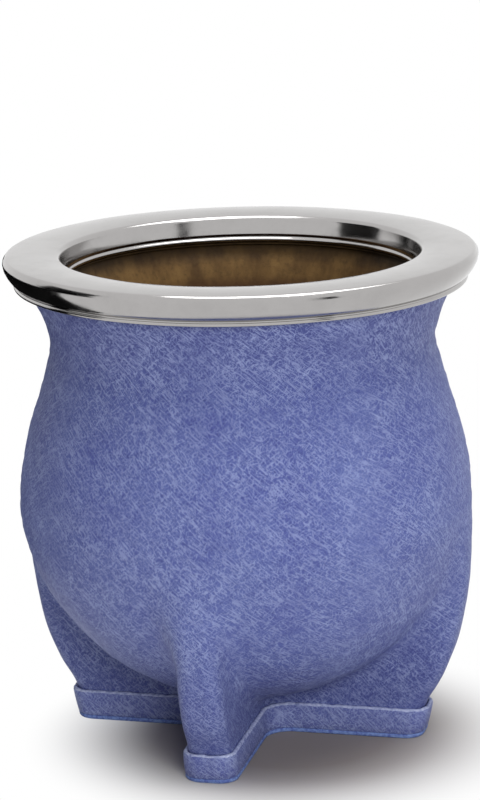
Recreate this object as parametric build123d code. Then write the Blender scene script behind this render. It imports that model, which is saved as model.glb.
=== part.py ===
from build123d import *
import os

# Mate gourd cup: a calabash shell in a leather cover, with a polished metal
# rim around its mouth and four leather fins that end in a cross-shaped foot.
# Millimetres, +Z up, origin at the middle of the foot on the table surface.
# The fins point along +X, -X, +Y and -Y.

# ---- driving dimensions -------------------------------------------------
RIM_TOP = 100.0            # table to the top of the rim
LEATHER = 1.3              # thickness of the cover
SHELL_WALL = 4.6           # thickness of the dried shell at the bottom
SHELL_LIP = 3.2            # thickness of the dried shell at its cut edge
SEAT_CLEAR = 0.15          # room around the collar in its seat in the shell

COVER_TOP = 97.0           # height at which the cover ends, inside the rim

SHEET = 0.8                # thickness of the rim's metal sheet
CROWN = 0.35               # rise of the flange's middle above its edges
MOUTH_R = 36.1             # inner radius of the rim's collar
COLLAR_BOTTOM = 94.3       # height of the collar's lower edge
CREASE_R = 46.5            # radius at which the flange turns into the skirt
RIM_WIDEST_R = 47.5        # largest radius of the rim
SKIRT_R = 45.0             # radius of the skirt's lower edge
SKIRT_BOTTOM = 93.4        # height of the skirt's lower edge
TUCK_R = 40.8              # radius at which the rim's underside meets the cover

SOLE = 0.9                 # thickness of the sole plate
BAND = 0.9                 # thickness of the band
BAND_TOP = 6.2             # height of the band's upper edge
ARM_REACH = 36.9           # middle of the foot to the tip of an arm
ARM_HALF = 5.4             # half the width of an arm, over the band
ARM_TIP_FILLET = 3.8       # corner radius at the tip of an arm
ARM_ROOT_FILLET = 5.0      # radius between neighbouring arms
HUB_REACH = 10.5           # half the width of the hub that joins the fins

FLANGE = RIM_TOP - CROWN   # height of the flange at its two edges
SHELL_TOP = FLANGE - SHEET # height at which the shell is cut, under the flange

# Outer outline of the cover as (radius, height), from the middle of the
# bottom to the end of the neck.
COVER_OUTLINE = [
    (0.0, 8.2),
    (12.0, 9.4),
    (22.0, 13.2),
    (31.5, 19.8),
    (39.8, 29.8),
    (44.9, 40.5),
    (46.0, 50.0),
    (44.4, 61.5),
    (41.2, 72.5),
    (39.3, 81.5),
    (39.7, 89.5),
    (41.2, COVER_TOP),
]

# Outer edge of a fin as (radius, height), from the sole to the belly.
FIN_EDGE = [
    (36.0, SOLE),
    (36.0, BAND_TOP),
    (40.2, 13.0),
    (43.2, 22.0),
    (45.2, 33.0),
    (45.7, 46.0),
]


# ---- outlines -----------------------------------------------------------
def cover_curve():
    """Outer outline of the cover: X is the radius, Y is the height."""
    return Spline(*COVER_OUTLINE, tangents=[(1, 0), (0.25, 1)])


def inset_curve(curve, depth_low, depth_high, top):
    """Curve inside the given one, with a depth that changes evenly along it."""
    count = 13
    points = []
    for i in range(count):
        t = i / (count - 1)
        place = curve @ t
        along = curve % t
        depth = depth_low + (depth_high - depth_low) * t
        points.append((place.X - depth * along.Y, place.Y + depth * along.X))
    points[0] = (0.0, points[0][1])
    points[-1] = (points[-1][0], top)
    return Spline(*points, tangents=[(1, 0), (0.25, 1)])


def spin(edges):
    """Solid of revolution of a closed outline drawn as radius and height."""
    return revolve(Plane.XZ * make_face(edges), Axis.Z, 360)


def filled(curve):
    """Everything inside an outline that starts on the axis."""
    top = curve @ 1
    return spin([curve, Line(top, (0, top.Y)), Line((0, top.Y), curve @ 0)])


def cross_outline(inset):
    """Outline of the foot, drawn inside its edge by the given amount."""
    reach = ARM_REACH - inset
    half = ARM_HALF - inset
    bar = Rectangle(2 * reach, 2 * half)
    cross = bar + Rot(0, 0, 90) * bar
    tips = cross.vertices().filter_by(lambda v: max(abs(v.X), abs(v.Y)) > half + 1)
    cross = fillet(tips, ARM_TIP_FILLET - inset)
    roots = cross.vertices().filter_by(lambda v: max(abs(v.X), abs(v.Y)) < half + 1)
    return fillet(roots, ARM_ROOT_FILLET + inset)


# ---- pieces -------------------------------------------------------------
def build_sole():
    """Flat leather plate under the whole foot."""
    return extrude(cross_outline(0), SOLE)


def build_band():
    """Leather strip wrapped around the edge of the foot, above the sole."""
    strip = extrude(cross_outline(0) - cross_outline(BAND), BAND_TOP - SOLE)
    return Pos(0, 0, SOLE) * strip


def build_fin(outer):
    """One upright fin along +X, from the hub to its rounded outer edge."""
    bottom, knee, top = FIN_EDGE[0], FIN_EDGE[1], FIN_EDGE[-1]
    side = make_face([
        Line((HUB_REACH, SOLE), bottom),
        Line(bottom, knee),
        Spline(*FIN_EDGE[1:], tangents=[(0.6, 1), (0, 1)]),
        Line(top, (HUB_REACH, top[1])),
        Line((HUB_REACH, top[1]), (HUB_REACH, SOLE)),
    ])
    half = ARM_HALF - BAND
    fin = extrude(Plane.XZ * side, half, both=True)
    outer_edges = fin.edges().filter_by(
        lambda e: e.center().X > 35 and abs(e.center().Y) > half - 0.01 and 1 < e.center().Z < 40
    )
    return fillet(outer_edges, ARM_TIP_FILLET - BAND) - filled(outer)


def build_hub(outer):
    """Middle of the foot, which joins the four fins under the cup."""
    block = Pos(0, 0, SOLE) * extrude(cross_outline(BAND), HUB_REACH)
    square = Pos(0, 0, SOLE) * Box(
        2 * HUB_REACH, 2 * HUB_REACH, HUB_REACH, align=(Align.CENTER, Align.CENTER, Align.MIN)
    )
    return (block & square) - filled(outer)


def build_cover(outer, middle):
    """Leather skin of even thickness, from the bottom to the neck."""
    return filled(outer) - filled(middle)


def build_shell(middle, inner):
    """Dried calabash shell, cut level at the neck, with a seat for the collar."""
    seat = Cylinder(MOUTH_R + SHEET + SEAT_CLEAR, 10, align=(Align.CENTER, Align.CENTER, Align.MIN))
    return filled(middle) - filled(inner) - Pos(0, 0, COLLAR_BOTTOM - 0.4) * seat


def build_rim():
    """Hollow metal ring: collar in the mouth, flange on top, skirt outside."""
    under = FLANGE - SHEET
    lower = SKIRT_BOTTOM + SHEET
    outside = [
        Line((MOUTH_R, COLLAR_BOTTOM), (MOUTH_R, FLANGE - 1.0)),
        ThreePointArc(
            (MOUTH_R, FLANGE - 1.0),
            (MOUTH_R + 0.3, FLANGE - 0.3),
            (MOUTH_R + 1.0, FLANGE),
        ),
        ThreePointArc((MOUTH_R + 1.0, FLANGE), (41.8, RIM_TOP), (CREASE_R, FLANGE)),
        ThreePointArc((CREASE_R, FLANGE), (47.3, 99.3), (RIM_WIDEST_R, 98.5)),
        ThreePointArc((RIM_WIDEST_R, 98.5), (46.8, 96.1), (SKIRT_R, SKIRT_BOTTOM)),
        Line((SKIRT_R, SKIRT_BOTTOM), (TUCK_R, SKIRT_BOTTOM)),
    ]
    inside = [
        Line((TUCK_R, SKIRT_BOTTOM), (TUCK_R, lower)),
        Line((TUCK_R, lower), (SKIRT_R - 0.5, lower)),
        ThreePointArc((SKIRT_R - 0.5, lower), (46.0, 96.3), (RIM_WIDEST_R - SHEET, 98.4)),
        Line((RIM_WIDEST_R - SHEET, 98.4), (CREASE_R - 0.3, under)),
        Line((CREASE_R - 0.3, under), (MOUTH_R + SHEET, under)),
        Line((MOUTH_R + SHEET, under), (MOUTH_R + SHEET, COLLAR_BOTTOM)),
        Line((MOUTH_R + SHEET, COLLAR_BOTTOM), (MOUTH_R, COLLAR_BOTTOM)),
    ]
    return spin(outside + inside)


# ---- build and export ---------------------------------------------------
outer = cover_curve()
middle = inset_curve(outer, LEATHER, LEATHER, SHELL_TOP)
inner = inset_curve(outer, LEATHER + SHELL_WALL, LEATHER + SHELL_LIP, SHELL_TOP)

fin = build_fin(outer)

pieces = {
    "shell": build_shell(middle, inner),
    "leather_cover": build_cover(outer, middle),
    "fin_right": fin,
    "fin_back": Rot(0, 0, 90) * fin,
    "fin_left": Rot(0, 0, 180) * fin,
    "fin_front": Rot(0, 0, 270) * fin,
    "foot_hub": build_hub(outer),
    "foot_band": build_band(),
    "sole": build_sole(),
    "rim": build_rim(),
}

os.makedirs("parts", exist_ok=True)
for name, solid in pieces.items():
    export_step(solid, f"parts/{name}.step")
    print(name, len(solid.solids()), "solid", round(solid.volume), "mm3")
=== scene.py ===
# %% [markdown]
# # A mate gourd cup
#
# The cup is a dried calabash with a blue leather cover, a polished metal rim
# and a foot in the shape of a cross. This lesson builds what the eye sees
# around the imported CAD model, one piece at a time. All places are in metres in
# the CAD frame: the middle of the foot is the origin and +Z is up.

# %% Load the CAD model as a fixed frame
import math

import bpy
import numpy as np
from mathutils import Matrix, Vector


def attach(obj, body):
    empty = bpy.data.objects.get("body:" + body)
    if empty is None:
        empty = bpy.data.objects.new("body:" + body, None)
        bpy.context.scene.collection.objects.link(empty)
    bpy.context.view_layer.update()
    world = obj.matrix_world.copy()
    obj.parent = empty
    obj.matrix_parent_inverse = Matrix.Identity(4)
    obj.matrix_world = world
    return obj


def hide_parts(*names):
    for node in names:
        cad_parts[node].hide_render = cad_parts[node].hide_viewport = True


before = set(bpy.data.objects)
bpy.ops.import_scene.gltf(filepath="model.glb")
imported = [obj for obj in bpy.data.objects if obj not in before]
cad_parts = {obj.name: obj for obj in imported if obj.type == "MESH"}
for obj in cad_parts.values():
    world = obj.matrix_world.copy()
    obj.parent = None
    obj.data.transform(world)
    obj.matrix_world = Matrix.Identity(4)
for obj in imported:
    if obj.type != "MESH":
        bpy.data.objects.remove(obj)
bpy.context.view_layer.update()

MM = 0.001
print("CAD nodes:", sorted(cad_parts))

# %% [markdown]
# ## Small tools
#
# Colours are written as the hex values that a paint chart would give, and
# Cycles wants linear light, so one function turns one into the other. One
# function adds a shader node with its settings and its links. One function
# turns a grid of rings into a mesh, because nearly every piece of a turned or
# wrapped object is a stack of rings.


# %% Colour from a hex value
def colour(hex_value):
    """Linear RGBA of an sRGB hex value."""
    parts = [int(hex_value[i:i + 2], 16) / 255 for i in (1, 3, 5)]
    linear = [c / 12.92 if c <= 0.04045 else ((c + 0.055) / 1.055) ** 2.4 for c in parts]
    return (*linear, 1.0)


print("mid grey is", round(colour("#808080")[0], 3), "in linear light")


# %% Add a shader node
def add(tree, kind, inputs=None, **settings):
    """Add one node. An input takes a value, or a socket to link to."""
    made = tree.nodes.new(kind)
    for name, value in settings.items():
        setattr(made, name, value)
    for name, value in (inputs or {}).items():
        if isinstance(value, bpy.types.NodeSocket):
            tree.links.new(value, made.inputs[name])
        else:
            made.inputs[name].default_value = value
    return made


def new_material(name):
    """Empty material with a node tree, and that tree."""
    material = bpy.data.materials.new(name)
    material.use_nodes = True
    material.node_tree.nodes.clear()
    return material, material.node_tree


def millimetres(tree):
    """Socket with the place on the object in mm, so that a pattern is scaled by a real size."""
    coords = add(tree, "ShaderNodeTexCoord")
    scaled = add(tree, "ShaderNodeVectorMath", {0: coords.outputs["Object"], "Scale": 1 / MM},
                 operation="SCALE")
    return scaled.outputs["Vector"]


# %% Mesh from a stack of rings
def ring_mesh(name, rings, closed_loop=False):
    """Smooth mesh from rings of points in mm. Ends are filled unless the stack closes on itself."""
    rings = np.asarray(rings, float)
    count, around = rings.shape[:2]
    corner = np.arange(count * around).reshape(count, around)
    lower = corner if closed_loop else corner[:-1]
    upper = np.roll(corner, -1, axis=0) if closed_loop else corner[1:]
    faces = np.stack([lower, np.roll(lower, -1, 1), np.roll(upper, -1, 1), upper], -1)
    faces = faces.reshape(-1, 4).tolist()
    if not closed_loop:
        faces.append(corner[0][::-1].tolist())
        faces.append(corner[-1].tolist())
    mesh = bpy.data.meshes.new(name)
    mesh.from_pydata((rings.reshape(-1, 3) * MM).tolist(), [], faces)
    mesh.polygons.foreach_set("use_smooth", np.ones(len(mesh.polygons), bool))
    mesh.update()
    piece = bpy.data.objects.new(name, mesh)
    bpy.context.scene.collection.objects.link(piece)
    print(name, "has", len(mesh.vertices), "points")
    return piece


def smooth_line(points, steps=24):
    """Points of a smooth curve through a few given ones."""
    p = np.asarray(points, float)
    p = np.vstack([2 * p[0] - p[1], p, 2 * p[-1] - p[-2]])
    t = np.linspace(0, 1, steps, endpoint=False)[:, None]
    line = []
    for a, b, c, d in zip(p[:-3], p[1:-2], p[2:-1], p[3:]):
        line.append(0.5 * (2 * b + (c - a) * t + (2 * a - 5 * b + 4 * c - d) * t ** 2
                           + (3 * b - a - 3 * c + d) * t ** 3))
    return np.vstack(line + [p[-2:-1]])


def arc(cx, cy, radius, start, end, steps=8):
    """Points on an arc between two angles in degrees."""
    turn = np.radians(np.linspace(start, end, steps))
    return [(cx + radius * math.cos(a), cy + radius * math.sin(a)) for a in turn]


def turned_ring(radius, height, turn):
    """Ring about the Z axis at the given angles."""
    radius = np.broadcast_to(radius, turn.shape)
    return np.stack([radius * np.cos(turn), radius * np.sin(turn), np.full(len(turn), height)], -1)


# %% [markdown]
# ## Camera
#
# The cup is seen from a little above, as someone who holds it sees it, and
# slightly from the right of one fin. The camera stands 0.6 m away with a long
# lens, which keeps the round rim nearly free of perspective. A slight roll
# makes the rim slope down a little to the right.

# %% Place the camera
TURN = math.radians(14.2)
TILT = math.radians(13.93)
ROLL = math.radians(1.45)
DISTANCE = 0.600
AIM_HEIGHT = 0.0685
AIM_SIDE = -0.0008
LENS = 133.6

sideways = Vector((math.cos(TURN), math.sin(TURN), 0))
away = Vector((-math.sin(TURN), math.cos(TURN), 0))
look = away * math.cos(TILT) - Vector((0, 0, math.sin(TILT)))
upright = sideways.cross(look)
right = sideways * math.cos(ROLL) - upright * math.sin(ROLL)
top = upright * math.cos(ROLL) + sideways * math.sin(ROLL)
aim = sideways * AIM_SIDE + Vector((0, 0, AIM_HEIGHT))

lens = bpy.data.cameras.new("camera")
lens.lens = LENS
lens.clip_start = 0.01
camera = bpy.data.objects.new("camera", lens)
camera.matrix_world = Matrix((
    (right.x, top.x, -look.x, 0),
    (right.y, top.y, -look.y, 0),
    (right.z, top.z, -look.z, 0),
    (0, 0, 0, 1),
))
camera.location = aim - look * DISTANCE
bpy.context.scene.collection.objects.link(camera)
bpy.context.scene.camera = camera
bpy.context.scene.view_settings.view_transform = "Standard"
print("camera at", [round(v, 3) for v in camera.location])

# %% [markdown]
# ## The shape of the cover
#
# The leather was stretched wet over the shell and over four stiff fins, so it
# runs from the belly into a fin with no sharp corner. One way to model that is
# to join solids and bevel the joint. Another is to describe the body and the
# fins as distances, blend the two distances, and find where the result is
# zero. The second way gives a soft valley of any width, so it is used here.

# %% Outlines, in millimetres
COVER_OUTLINE = [
    (0.0, 8.2), (12.0, 9.4), (22.0, 13.2), (31.5, 19.8), (39.8, 29.8), (44.7, 40.5),
    (45.8, 50.0), (44.2, 61.5), (40.9, 72.5), (38.7, 81.0), (39.2, 85.0), (40.3, 88.5), (41.6, 91.3),
    (42.1, 93.6), (41.0, 97.0),
]
FIN_EDGE = [
    (36.6, 0.0), (36.9, 6.2), (40.7, 13.0), (43.8, 22.0), (45.2, 32.0), (42.6, 42.0), (38.0, 51.0),
]
COVER_TOP = 97.0
FIN_TOP = 52.0
LEATHER = 1.3
SOLE = 0.9
ARM_HALF = 4.5
TIP_ROUND = 3.2

cover_line = smooth_line(COVER_OUTLINE)
fin_line = smooth_line(FIN_EDGE)
print("outline of the cover:", len(cover_line), "points")


# %% Distance to the body and to the cross of fins
def soft_min(a, b, width):
    """Smaller of two distances, with a fillet where they are nearly equal."""
    h = np.maximum(width - np.abs(a - b), 0) / width
    return np.minimum(a, b) - h * h * width / 4


def body_distance(radius, height):
    """Signed distance to the gourd-shaped body, below zero inside."""
    gap = np.hypot(radius[:, None] - cover_line[:, 0], height - cover_line[:, 1]).min(1)
    wall = np.interp(height, cover_line[:, 1], cover_line[:, 0], left=-1)
    return np.where(radius < wall, -gap, gap)


def bar_distance(along, across, reach, half, rounding):
    """Signed distance to one bar of the cross, seen from above."""
    x = np.abs(along) - (reach - rounding)
    y = np.abs(across) - (half - rounding)
    outside = np.hypot(np.maximum(x, 0), np.maximum(y, 0))
    return outside + np.minimum(np.maximum(x, y), 0) - rounding


SEARCH = np.linspace(0.2, 52, 260)


def cover_ring(height, angles):
    """Radius of the cover at each angle from a fin: the last place out from the axis that is inside."""
    reach = np.interp(height, fin_line[:, 1], fin_line[:, 0])
    half = np.interp(height, [0, 20, 40], [ARM_HALF, ARM_HALF, 3.7])
    valley = np.interp(height, [0, 14, 30, 50], [3.0, 4.0, 7.0, 9.0])
    along = SEARCH * np.cos(angles)[:, None]
    across = SEARCH * np.sin(angles)[:, None]
    rounding = min(TIP_ROUND, half - 0.1)
    fins = soft_min(bar_distance(along, across, reach, half, rounding),
                    bar_distance(across, along, reach, half, rounding), 6.0)
    body = body_distance(SEARCH, height)[None, :]
    depth = soft_min(body, fins, valley) if height < FIN_TOP else body + 0 * fins
    last = len(SEARCH) - 1 - np.argmax((depth < 0)[:, ::-1], axis=1)
    last = np.clip(last, 0, len(SEARCH) - 2)
    rows = np.arange(len(angles))
    a, b = depth[rows, last], depth[rows, last + 1]
    return SEARCH[last] + (SEARCH[1] - SEARCH[0]) * np.clip(a / (a - b), 0, 1)


# %% Angles that crowd together on the sides of the fins
quarter = np.radians(np.linspace(-45, 45, 2001))
crowding = 1 + 2.6 * np.exp(-((np.abs(np.degrees(quarter)) - 9) / 4) ** 2)
travel = np.concatenate([[0], np.cumsum(crowding[1:])])
travel /= travel[-1]
quarter = np.interp(np.arange(132) / 132, travel, quarter)
AROUND = 4 * len(quarter)
angles = np.concatenate([quarter + math.radians(90) * k for k in range(4)])
heights = np.concatenate([
    np.linspace(SOLE, 8.2, 10, endpoint=False), np.linspace(8.2, 14, 26, endpoint=False),
    np.linspace(14, 24, 26, endpoint=False), np.linspace(24, 46, 42, endpoint=False),
    np.linspace(46, COVER_TOP, 62),
])
print(AROUND, "points around,", len(heights), "rings")


# %% Small unevenness of stretched leather
def swell(points, wavelength, seed):
    """Smooth unevenness between about -1 and 1, from a few crossing waves."""
    chance = np.random.default_rng(seed)
    total = np.zeros(points.shape[:-1])
    for _ in range(9):
        direction = chance.normal(size=3)
        direction *= 2 * math.pi / wavelength / np.linalg.norm(direction) * chance.uniform(0.7, 1.4)
        total += np.sin(points @ direction + chance.uniform(0, 2 * math.pi))
    return total / 4


# %% Build the cover
outer_rings = []
for height in heights:
    outer_rings.append(turned_ring(np.tile(cover_ring(height, quarter), 4), height, angles))
outer_rings = np.array(outer_rings)
stretch = 0.16 * swell(outer_rings, 22, 1) + 0.05 * swell(outer_rings, 6, 2)
stretch *= np.interp(outer_rings[..., 2], [6, 9, 92, 97], [0, 1, 1, 0.3])
flat = outer_rings[..., :2]
outer_rings[..., :2] += flat / np.linalg.norm(flat, axis=-1, keepdims=True) * stretch[..., None]

LOWEST_INSIDE = 9.5
inner_rings = []
for radius, height in smooth_line(COVER_OUTLINE, 3)[::-1]:
    inner_rings.append(turned_ring(max(radius - LEATHER, 0.3), max(height, LOWEST_INSIDE), angles))
bottom = [outer_rings[0] * (s, s, 1) for s in (0.05, 0.4, 0.75)]
cover = ring_mesh("leather_cover_skin", np.concatenate([bottom, outer_rings, inner_rings]))
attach(cover, "root")
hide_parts("leather_cover", "foot_hub", "fin_right", "fin_back", "fin_left", "fin_front")

# %% [markdown]
# ## Dyed leather
#
# The cover is taken to be vegetable-tanned leather, dyed blue and waxed. Where
# it was stretched and bent it has fine pale lines that cross each other, and
# the dye sits darker in the pores. The lines could be a picture
# wrapped round the cup. They are drawn here from noise that is drawn out along
# a slant, which has no seam and shows the same grain from every side.
#
# The noise is flat, so it is laid on from the front and from the side, and the
# two are mixed where the surface turns from one to the other. The finest creases
# would not show at this distance, so they are drawn coarse enough to show.


# %% Crossing crease lines on one flat projection
def crease_lines(tree, place, slant, length, spacing, thin, seed):
    """Socket that is 1 on thin slanted lines. Length and spacing are in mm."""
    turned = add(tree, "ShaderNodeMapping", {
        "Vector": place, "Rotation": (0, 0, -math.radians(slant)),
        "Location": (seed * 13.7, seed * 5.1, 0)}, vector_type="TEXTURE")
    drawn = add(tree, "ShaderNodeVectorMath", {
        0: turned.outputs["Vector"], 1: (1 / length, 1 / spacing, 0)}, operation="MULTIPLY")
    noise = add(tree, "ShaderNodeTexNoise", {
        "Vector": drawn.outputs["Vector"], "Scale": 1.0, "Detail": 1.6, "Roughness": 0.5,
        "Distortion": 0.2}, noise_dimensions="2D")
    middle = add(tree, "ShaderNodeMath", {0: noise.outputs["Fac"], 1: 0.5}, operation="SUBTRACT")
    edge = add(tree, "ShaderNodeMath", {0: middle.outputs[0]}, operation="ABSOLUTE")
    line = add(tree, "ShaderNodeMapRange", {
        "Value": edge.outputs[0], "From Min": 0.0, "From Max": thin, "To Min": 1.0, "To Max": 0.0})
    return line.outputs["Result"]


def crossing_creases(tree, place, seed):
    """Two slanted families of lines and a looser third one."""
    rising = crease_lines(tree, place, 42, 4.5, 0.62, 0.05, seed)
    falling = crease_lines(tree, place, -40, 2.2, 0.7, 0.036, seed + 1)
    steep = crease_lines(tree, place, 75, 1.8, 0.8, 0.03, seed + 2)
    both = add(tree, "ShaderNodeMath", {0: rising, 1: falling}, operation="MAXIMUM")
    return add(tree, "ShaderNodeMath", {0: both.outputs[0], 1: steep}, operation="MAXIMUM").outputs[0]


# %% The leather itself
def dyed_leather(name, dark, mid, light, line_colour):
    """Waxed blue leather with pale creases, fine grain and cloudy dye, with painted shade under the rim
    and near the foot.
    """
    material, tree = new_material(name)
    mm = millimetres(tree)
    xyz = add(tree, "ShaderNodeSeparateXYZ", {"Vector": mm})
    front = add(tree, "ShaderNodeCombineXYZ", {"X": xyz.outputs["X"], "Y": xyz.outputs["Z"]})
    side = add(tree, "ShaderNodeCombineXYZ", {"X": xyz.outputs["Y"], "Y": xyz.outputs["Z"]})
    coords = add(tree, "ShaderNodeTexCoord")
    facing = add(tree, "ShaderNodeSeparateXYZ", {"Vector": coords.outputs["Normal"]})
    nx = add(tree, "ShaderNodeMath", {0: facing.outputs["X"]}, operation="ABSOLUTE")
    ny = add(tree, "ShaderNodeMath", {0: facing.outputs["Y"]}, operation="ABSOLUTE")
    turn = add(tree, "ShaderNodeMath", {0: nx.outputs[0], 1: ny.outputs[0]}, operation="SUBTRACT")
    sideness = add(tree, "ShaderNodeMapRange", {
        "Value": turn.outputs[0], "From Min": -0.25, "From Max": 0.25}, interpolation_type="SMOOTHSTEP")
    lines = add(tree, "ShaderNodeMix", {
        0: sideness.outputs["Result"],
        2: crossing_creases(tree, front.outputs[0], 1),
        3: crossing_creases(tree, side.outputs[0], 5)}, data_type="FLOAT")

    clouds = add(tree, "ShaderNodeTexNoise", {
        "Vector": mm, "Scale": 1 / 14, "Detail": 3.0, "Roughness": 0.6})
    patches = add(tree, "ShaderNodeTexNoise", {
        "Vector": mm, "Scale": 1 / 7, "Detail": 3.0, "Roughness": 0.65})
    grain = add(tree, "ShaderNodeTexNoise", {
        "Vector": mm, "Scale": 2.4, "Detail": 2.0, "Roughness": 0.7})
    shown = add(tree, "ShaderNodeMapRange", {
        "Value": patches.outputs["Fac"], "From Min": 0.3, "From Max": 0.7,
        "To Min": 0.5, "To Max": 0.95})
    creases = add(tree, "ShaderNodeMath", {0: lines.outputs[0], 1: shown.outputs[0]},
                  operation="MULTIPLY")

    dye = add(tree, "ShaderNodeMix", {
        0: add(tree, "ShaderNodeMapRange", {
            "Value": clouds.outputs["Fac"], "From Min": 0.25, "From Max": 0.75}).outputs[0],
        6: colour(mid), 7: colour(light)}, data_type="RGBA")
    # Painted shade: the dye turns towards the dark colour under the rim and near the foot, where the
    # rim and the belly shade the leather.
    shade_under_rim = add(tree, "ShaderNodeMapRange", {
        "Value": xyz.outputs["Z"], "From Min": 74.0, "From Max": 92.0, "To Max": 0.5},
        interpolation_type="SMOOTHSTEP")
    shade_near_foot = add(tree, "ShaderNodeMapRange", {
        "Value": xyz.outputs["Z"], "From Min": 8.0, "From Max": 40.0, "To Min": 0.30, "To Max": 0.0},
        interpolation_type="SMOOTHSTEP")
    painted_shade = add(tree, "ShaderNodeMath", {0: shade_under_rim.outputs[0], 1: shade_near_foot.outputs[0]})
    dye = add(tree, "ShaderNodeMix", {
        0: painted_shade.outputs[0], 6: dye.outputs[2], 7: colour(dark)}, data_type="RGBA")
    pores = add(tree, "ShaderNodeMapRange", {
        "Value": grain.outputs["Fac"], "From Min": 0.50, "From Max": 0.72, "To Max": 0.5})
    dotted = add(tree, "ShaderNodeMix", {0: pores.outputs[0], 6: dye.outputs[2], 7: colour(dark)},
                 data_type="RGBA")
    lined = add(tree, "ShaderNodeMix", {
        0: creases.outputs[0], 6: dotted.outputs[2], 7: colour(line_colour)}, data_type="RGBA")

    depth = add(tree, "ShaderNodeMath", {0: grain.outputs["Fac"], 1: 0.5, 2: creases.outputs[0]},
                operation="MULTIPLY_ADD")
    bump = add(tree, "ShaderNodeBump", {
        "Height": depth.outputs[0], "Strength": 0.35, "Distance": 0.12 * MM})
    gloss = add(tree, "ShaderNodeMapRange", {
        "Value": grain.outputs["Fac"], "From Min": 0.3, "From Max": 0.7, "To Min": 0.5, "To Max": 0.64})
    surface = add(tree, "ShaderNodeBsdfPrincipled", {
        "Base Color": lined.outputs[2], "Roughness": gloss.outputs[0], "IOR": 1.5,
        "Specular IOR Level": 0.3, "Normal": bump.outputs["Normal"]})
    add(tree, "ShaderNodeOutputMaterial", {"Surface": surface.outputs["BSDF"]})
    return material


leather = dyed_leather("vegetable-tanned leather, dyed blue and waxed",
                       "#30346E", "#4E5798", "#5C68A4", "#96A1CC")
cover.data.materials.append(leather)
print("leather has", len(leather.node_tree.nodes), "nodes")

# %% [markdown]
# ## Sole and band
#
# A flat leather sole closes the foot, and a strip of the same leather goes
# round the edge of the cross. The strip was cut with a knife and not
# folded, so its top edge shows the pale raw inside of the hide. The cross is
# drawn once, as straight runs and arcs, and both pieces follow it.

# %% Outline of the foot
FOOT_REACH = 36.6
FOOT_HALF = 5.4
FOOT_TIP_ROUND = 3.8
FOOT_ROOT_ROUND = 5.0
LEAN = 0.22
FOOT_AROUND = 720
ARC_STEPS = 24


def cross_path(reach, half, tip_round, root_round):
    """Evenly spaced points round the cross, anticlockwise from +X, in mm."""
    inner = half + root_round
    corner = np.vstack([
        [(reach, 0)],
        arc(reach - tip_round, half - tip_round, tip_round, 0, 90, ARC_STEPS),
        arc(inner, inner, root_round, 270, 180, ARC_STEPS),
        arc(half - tip_round, reach - tip_round, tip_round, 0, 90, ARC_STEPS),
    ])
    turned = [corner @ np.array([[math.cos(a), math.sin(a)], [-math.sin(a), math.cos(a)]])
              for a in (0, math.pi / 2, math.pi, 3 * math.pi / 2)]
    path = np.vstack(turned + [corner[:1]])
    run = np.concatenate([[0], np.cumsum(np.linalg.norm(np.diff(path, axis=0), axis=1))])
    at = np.linspace(0, run[-1], FOOT_AROUND, endpoint=False)
    return np.stack([np.interp(at, run, path[:, 0]), np.interp(at, run, path[:, 1])], -1)


def cross_ring(height, inset):
    """Ring of the foot at one height. The tips lean outwards with height."""
    path = cross_path(FOOT_REACH + LEAN * height - inset, FOOT_HALF - inset,
                      FOOT_TIP_ROUND - inset, FOOT_ROOT_ROUND + inset)
    return np.column_stack([path, np.full(len(path), height)])


# %% Build the sole
sole_profile = [
    (2.0, 0.0), (0.35, 0.0), (0.1, 0.1), (0.0, 0.3), (0.0, 0.7), (0.08, 0.86), (0.3, SOLE), (2.0, SOLE),
]
sole_edge_rings = [cross_ring(height, inset) for inset, height in sole_profile]
under_rings = [sole_edge_rings[0] * (s, s, 1) for s in (0.04, 0.5)]
upper_rings = [sole_edge_rings[-1] * (s, s, 1) for s in (0.5, 0.04)]
sole = ring_mesh("sole_plate", under_rings + sole_edge_rings + upper_rings)
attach(sole, "root")
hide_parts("sole")

# %% Build the band
band_profile = [
    (0.12, 0.92), (0.0, 1.1), (-0.06, 2.4), (-0.06, 4.2), (0.0, 5.5), (0.10, 5.85), (0.32, 6.12),
    (0.6, 6.2), (0.85, 6.15), (0.9, 5.9), (0.9, 4.0), (0.9, 1.1), (0.75, 0.92),
]
band_rings = []
for inset, height in band_profile:
    ring = cross_ring(height, inset)
    fray = 0.10 * swell(ring, 3.0, 7) + 0.07 * swell(ring, 1.1, 8)
    ring[:, 2] += fray * np.interp(height, [5.0, 6.0], [0, 1])
    band_rings.append(ring)
band = ring_mesh("foot_band_strip", band_rings, closed_loop=True)
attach(band, "root")
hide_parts("foot_band")


# %% Raw cut edge of the leather
def cut_leather(name, pale, stained):
    """Fibrous edge of a hide where a knife went through it."""
    material, tree = new_material(name)
    mm = millimetres(tree)
    fibres = add(tree, "ShaderNodeTexNoise", {
        "Vector": mm, "Scale": 1.6, "Detail": 4.0, "Roughness": 0.7})
    stain = add(tree, "ShaderNodeMapRange", {
        "Value": fibres.outputs["Fac"], "From Min": 0.4, "From Max": 0.62})
    dye = add(tree, "ShaderNodeMix", {
        0: stain.outputs[0], 6: colour(pale), 7: colour(stained)}, data_type="RGBA")
    bump = add(tree, "ShaderNodeBump", {
        "Height": fibres.outputs["Fac"], "Strength": 0.4, "Distance": 0.15 * MM})
    surface = add(tree, "ShaderNodeBsdfPrincipled", {
        "Base Color": dye.outputs[2], "Roughness": 0.85, "IOR": 1.45, "Normal": bump.outputs["Normal"]})
    add(tree, "ShaderNodeOutputMaterial", {"Surface": surface.outputs["BSDF"]})
    return material


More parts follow.
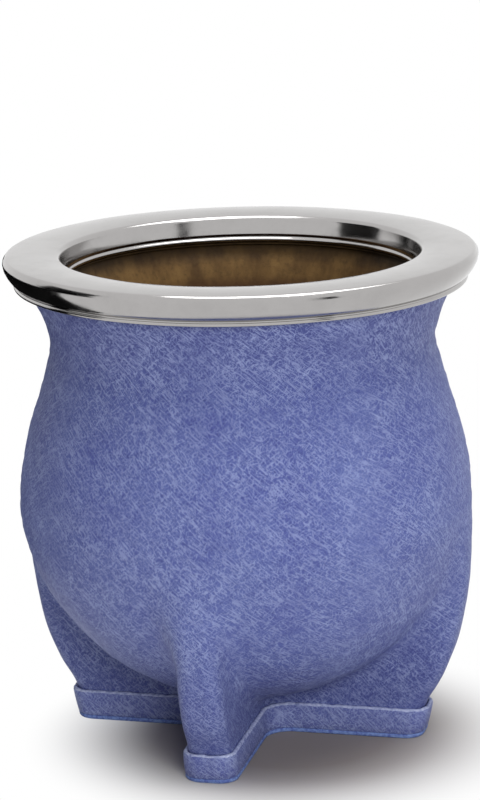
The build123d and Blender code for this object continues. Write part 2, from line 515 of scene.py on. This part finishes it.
# The edge of the strip is paler than its face. The edge of the sole is a brighter blue.
cut_edge = cut_leather("raw cut edge of leather", "#C6CEEA", "#96A0CC")
sole_edge = cut_leather("sole leather, dyed edge", "#86A0D8", "#5A6CB4")
# Painted light: the strip is a lighter copy of the cover leather, which makes up for the painted shade
# near the foot that the same material lays on it.
strip_leather_lightened = dyed_leather("strip leather, dyed blue", "#40447C", "#6670B4", "#7480C0", "#A6B2DA")
band.data.materials.append(strip_leather_lightened)
band.data.materials.append(cut_edge)
CUT_EDGE_FROM = 5.9
CUT_EDGE_SLOT = 1
for face in band.data.polygons:
    if face.center.z > CUT_EDGE_FROM * MM:
        face.material_index = CUT_EDGE_SLOT
sole.data.materials.append(sole_edge)
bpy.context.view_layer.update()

# %% [markdown]
# ## Metal rim
#
# The rim is taken to be nickel silver, a white alloy of copper, nickel and
# zinc, spun to shape from sheet on a lathe and polished: a collar that reaches into the
# mouth, a wide flange, a crisp crease and a skirt that covers the end of the
# leather. A lathe makes a turned shape, so a turned profile is the true model
# of it. A few hundredths of a millimetre of unevenness keep its reflections
# from looking computed.

# %% Profile of the rim, in millimetres
rim_profile = (
    arc(35.42, 94.75, 0.42, 270, 120, 9)
    + [(35.4, 95.35), (35.28, 95.6), (35.3, 96.0), (35.6, 97.2), (35.92, 98.4)]
    + arc(37.0, 98.55, 1.05, 172, 95, 8)
    + [(39.0, 99.85), (41.5, 99.98), (44.0, 99.95), (45.6, 99.82)]
    + arc(46.35, 99.0, 0.75, 82, 25, 7)
    + [(47.35, 98.9), (47.45, 98.4), (47.25, 97.4), (46.75, 96.4), (46.1, 95.5), (45.55, 94.9),
       (45.2, 94.62), (45.12, 94.5)]
    + arc(44.95, 94.0, 0.42, 60, -90, 9)
    + [(44.0, 93.55), (42.4, 93.5), (41.0, 93.5), (41.0, 94.1), (42.4, 94.15), (44.3, 94.3),
       (45.6, 96.0), (46.5, 97.6), (46.6, 98.4), (46.1, 98.85), (44.0, 99.1), (41.5, 99.15),
       (38.6, 99.0), (37.4, 98.86), (36.8, 98.2), (36.2, 96.0), (36.0, 94.9), (35.75, 94.4)]
)
print("rim profile has", len(rim_profile), "points")

# %% Spin the rim
RIM_AROUND = 360
RIM_MIDDLE = 42.0
spin = np.linspace(0, 2 * math.pi, RIM_AROUND, endpoint=False)
rim_rings = []
for radius, height in rim_profile:
    ring = turned_ring(radius, height, spin)
    uneven = 0.03 * swell(ring, 30, 11) + 0.012 * swell(ring, 9, 12)
    ring[:, :2] *= (1 + uneven / RIM_MIDDLE)[:, None]
    ring[:, 2] += 0.02 * swell(ring, 26, 13)
    rim_rings.append(ring)
rim = ring_mesh("metal_rim", rim_rings, closed_loop=True)
rim.data.flip_normals()
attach(rim, "root")
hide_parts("rim")

# %% Polished nickel silver
# Buffing leaves a slightly hazy mirror with a faint warm grey tint.
metal, tree = new_material("nickel silver, spun and polished")
mm = millimetres(tree)
haze = add(tree, "ShaderNodeTexNoise", {"Vector": mm, "Scale": 1 / 6, "Detail": 4.0, "Roughness": 0.65})
polish = add(tree, "ShaderNodeMapRange", {
    "Value": haze.outputs["Fac"], "From Min": 0.35, "From Max": 0.65, "To Min": 0.10, "To Max": 0.2})
tint = add(tree, "ShaderNodeMix", {
    0: haze.outputs["Fac"], 6: colour("#B4B2B1"), 7: colour("#A9A7A6")}, data_type="RGBA")
surface = add(tree, "ShaderNodeBsdfPrincipled", {
    "Base Color": tint.outputs[2], "Metallic": 1.0, "Roughness": polish.outputs[0]})
add(tree, "ShaderNodeOutputMaterial", {"Surface": surface.outputs["BSDF"]})
rim.data.materials.append(metal)
print("rim material:", metal.name)

# %% [markdown]
# ## Calabash shell
#
# The cup itself is a dried calabash. Such a cup is scraped inside and cured
# with wet herb and hot water, which stains it brown in streaks that run down
# the wall. It is a turned shape with a slightly lumpy wall, so it is spun from
# a profile and then pushed in and out by noise.

# %% Build the shell
SHELL_GAP = 0.05
SHELL_BOTTOM = 9.6
SHELL_LIP = 98.8
outer_side = [(max(radius - LEATHER - SHELL_GAP, 0.3), max(height, SHELL_BOTTOM))
              for radius, height in smooth_line(COVER_OUTLINE, 4)]
outer_side[-1] = (39.9, SHELL_LIP)
wall = np.linspace(4.6, 3.2, len(outer_side))
inner_side = []
for i, (radius, height) in enumerate(outer_side):
    before = np.array(outer_side[max(i - 1, 0)])
    after = np.array(outer_side[min(i + 1, len(outer_side) - 1)])
    along = (after - before) / np.linalg.norm(after - before)
    inner_side.append((radius - wall[i] * along[1], height + wall[i] * along[0]))
inner_side = [(radius, height) for radius, height in inner_side if radius > 2 and height < 93.5]
lip = [(39.8, SHELL_LIP), (37.2, SHELL_LIP), (37.05, 98.6), (37.05, 94.0), (36.9, 93.88),
       (36.0, 93.85), (35.7, 93.7)]
outer_side = [(radius, height) for radius, height in outer_side if radius > 2 and height < 98]
SHELL_AROUND = 288
COLLAR_SEAT = 93.6
spin = np.linspace(0, 2 * math.pi, SHELL_AROUND, endpoint=False)
shell_rings = []
for radius, height in outer_side + lip + inner_side[::-1]:
    ring = turned_ring(radius, height, spin)
    if height < COLLAR_SEAT:
        ring[:, :2] *= (1 + 0.12 * swell(ring * (1, 1, 0.25), 9, 21) / radius)[:, None]
    shell_rings.append(ring)
shell = ring_mesh("calabash_shell", shell_rings)
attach(shell, "root")
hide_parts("shell")

# %% Cured calabash
# The wall is dull brown. It is darker low down, and painted shade darkens it just under the collar.
gourd, tree = new_material("calabash, cured")
mm = millimetres(tree)
drawn = add(tree, "ShaderNodeVectorMath", {0: mm, 1: (1 / 5, 1 / 5, 1 / 14)}, operation="MULTIPLY")
streaks = add(tree, "ShaderNodeTexNoise", {
    "Vector": drawn.outputs["Vector"], "Scale": 1.0, "Detail": 3.0, "Roughness": 0.6})
fibres = add(tree, "ShaderNodeTexNoise", {"Vector": mm, "Scale": 0.9, "Detail": 4.0, "Roughness": 0.7})
stain = add(tree, "ShaderNodeMapRange", {
    "Value": streaks.outputs["Fac"], "From Min": 0.35, "From Max": 0.65})
brown = add(tree, "ShaderNodeMix", {
    0: stain.outputs[0], 6: colour("#7A5E38"), 7: colour("#523C22")}, data_type="RGBA")
specks = add(tree, "ShaderNodeMapRange", {
    "Value": fibres.outputs["Fac"], "From Min": 0.5, "From Max": 0.75, "To Max": 0.5})
dirty = add(tree, "ShaderNodeMix", {
    0: specks.outputs[0], 6: brown.outputs[2], 7: colour("#2E2014")}, data_type="RGBA")
height = add(tree, "ShaderNodeSeparateXYZ", {"Vector": mm}).outputs["Z"]
soaked = add(tree, "ShaderNodeMapRange", {
    "Value": height, "From Min": 84.6, "From Max": 87.2, "To Min": 0.9, "To Max": 0.0})
wet = add(tree, "ShaderNodeMix", {
    0: soaked.outputs[0], 6: dirty.outputs[2], 7: colour("#3A2114")}, data_type="RGBA")
# Painted shade: the wall turns nearly black just under the collar, where the collar shades it.
shade_under_collar = add(tree, "ShaderNodeMapRange", {
    "Value": height, "From Min": 89.8, "From Max": 92.6, "To Min": 0.0, "To Max": 0.75})
stained = add(tree, "ShaderNodeMix", {
    0: shade_under_collar.outputs[0], 6: wet.outputs[2], 7: colour("#1C1610")}, data_type="RGBA")
bump = add(tree, "ShaderNodeBump", {
    "Height": fibres.outputs["Fac"], "Strength": 0.3, "Distance": 0.3 * MM})
surface = add(tree, "ShaderNodeBsdfPrincipled", {
    "Base Color": stained.outputs[2], "Roughness": 0.5, "IOR": 1.5, "Specular IOR Level": 0.2,
    "Normal": bump.outputs["Normal"]})
add(tree, "ShaderNodeOutputMaterial", {"Surface": surface.outputs["BSDF"]})
shell.data.materials.append(gourd)
print("shell material:", gourd.name)

# %% [markdown]
# ## Floor and light
#
# The cup stands on a white floor in a studio. A wide soft lamp hangs above it
# and a second one stands to the right of the camera, so that the belly is
# brightest right of the middle and the shadow stays close to the foot. A
# painted shadow tones the paper down under the cup, and the paper turns white a
# few centimetres out. Three dark boards, which only reflections see, give the
# polished rim dark patches.

# %% Floor
def seen_directly(tree):
    """Socket that is 1 where the camera or a reflection looks, and 0 for light that bounces."""
    path = add(tree, "ShaderNodeLightPath")
    return add(tree, "ShaderNodeMath", {
        0: path.outputs["Is Camera Ray"], 1: path.outputs["Is Glossy Ray"]},
        operation="MAXIMUM").outputs[0]


SHADE_MIDDLE = (0.0097, -0.0058, 0)
FLOOR = 4
floor_mesh = bpy.data.meshes.new("floor")
floor_corners = [(-FLOOR, -FLOOR, 0), (FLOOR, -FLOOR, 0), (FLOOR, FLOOR, 0), (-FLOOR, FLOOR, 0)]
floor_mesh.from_pydata(floor_corners, [], [(0, 1, 2, 3)])
floor = bpy.data.objects.new("floor", floor_mesh)
bpy.context.scene.collection.objects.link(floor)
paper, tree = new_material("white paper backdrop")
place = add(tree, "ShaderNodeTexCoord").outputs["Object"]
from_shade = add(tree, "ShaderNodeVectorMath", {0: place, 1: SHADE_MIDDLE}, operation="SUBTRACT")
radius = add(tree, "ShaderNodeVectorMath", {0: from_shade.outputs[0]}, operation="LENGTH")
far = add(tree, "ShaderNodeMapRange", {
    "Value": radius.outputs["Value"], "From Min": 0.026, "From Max": 0.056},
    interpolation_type="SMOOTHSTEP")
whiten = add(tree, "ShaderNodeMath", {0: seen_directly(tree), 1: far.outputs[0]}, operation="MULTIPLY")
# Painted shadow: the paper's own colour darkens to a warm grey within a few centimetres of the shade
# middle under the cup.
near = add(tree, "ShaderNodeMapRange", {
    "Value": radius.outputs["Value"], "From Min": 0.02, "From Max": 0.06})
tone = add(tree, "ShaderNodeMix", {
    0: near.outputs[0], 6: colour("#A69D95"), 7: colour("#F4F4F3")}, data_type="RGBA")
lit = add(tree, "ShaderNodeBsdfDiffuse", {"Color": tone.outputs[2]})
plain = add(tree, "ShaderNodeEmission", {"Color": (1, 1, 1, 1), "Strength": 1.0})
surface = add(tree, "ShaderNodeMixShader", {
    0: whiten.outputs[0], 1: lit.outputs[0], 2: plain.outputs[0]})
add(tree, "ShaderNodeOutputMaterial", {"Surface": surface.outputs[0]})
floor_mesh.materials.append(paper)
print("floor is", 2 * FLOOR, "m wide")

# %% World
world = bpy.data.worlds.new("studio")
bpy.context.scene.world = world
world.use_nodes = True
tree = world.node_tree
tree.nodes.clear()
room = add(tree, "ShaderNodeBackground", {"Color": colour("#F4F4F6"), "Strength": 0.15})
white = add(tree, "ShaderNodeBackground", {"Color": (1, 1, 1, 1), "Strength": 1.0})
mixed = add(tree, "ShaderNodeMixShader", {
    0: seen_directly(tree), 1: room.outputs[0], 2: white.outputs[0]})
add(tree, "ShaderNodeOutputWorld", {"Surface": mixed.outputs[0]})
print("room light strength", room.inputs["Strength"].default_value)


# %% Lamps
CUP_MIDDLE = 0.05


def soft_lamp(name, place, size, power):
    """Square area lamp that looks at the middle of the cup."""
    lamp = bpy.data.lights.new(name, "AREA")
    lamp.size = size
    lamp.energy = power
    holder = bpy.data.objects.new(name, lamp)
    holder.location = place
    direction = Vector((0, 0, CUP_MIDDLE)) - Vector(place)
    holder.rotation_euler = direction.to_track_quat("-Z", "Y").to_euler()
    bpy.context.scene.collection.objects.link(holder)
    print(name, "lamp,", power, "W")
    return holder


soft_lamp("overhead", (0.08, 0.0, 0.74), 0.6, 5.2)
soft_lamp("front_right", (0.36, -0.70, 0.36), 0.35, 3.3).visible_glossy = False


# %% Dark boards for the metal to reflect
black, tree = new_material("black card")
surface = add(tree, "ShaderNodeBsdfDiffuse", {"Color": colour("#141414")})
add(tree, "ShaderNodeOutputMaterial", {"Surface": surface.outputs[0]})


def dark_board(name, corners):
    """Flat board that only reflections see. Corners: right of, behind and above the cup, in metres."""
    mesh = bpy.data.meshes.new(name)
    points = [sideways * right_of + away * behind + Vector((0, 0, above))
              for right_of, behind, above in corners]
    mesh.from_pydata(points, [], [(0, 1, 2, 3)])
    mesh.materials.append(black)
    board = bpy.data.objects.new(name, mesh)
    bpy.context.scene.collection.objects.link(board)
    board.visible_camera = False
    board.visible_diffuse = False
    board.visible_shadow = False
    print(name, "placed")


dark_board("board_left_behind", [
    (-0.075, 0.010, 0.001), (-0.075, 0.9, 0.001), (-0.8, 0.9, 0.001), (-0.8, 0.010, 0.001)])
dark_board("board_left", [
    (-0.475, -0.155, 0.0), (-0.48, 0.138, 0.0), (-0.48, 0.138, 0.35), (-0.475, -0.155, 0.35)])
dark_board("board_front_right", [
    (0.29, -0.405, 0.0), (0.34, -0.365, 0.0), (0.34, -0.365, 0.30), (0.29, -0.405, 0.30)])
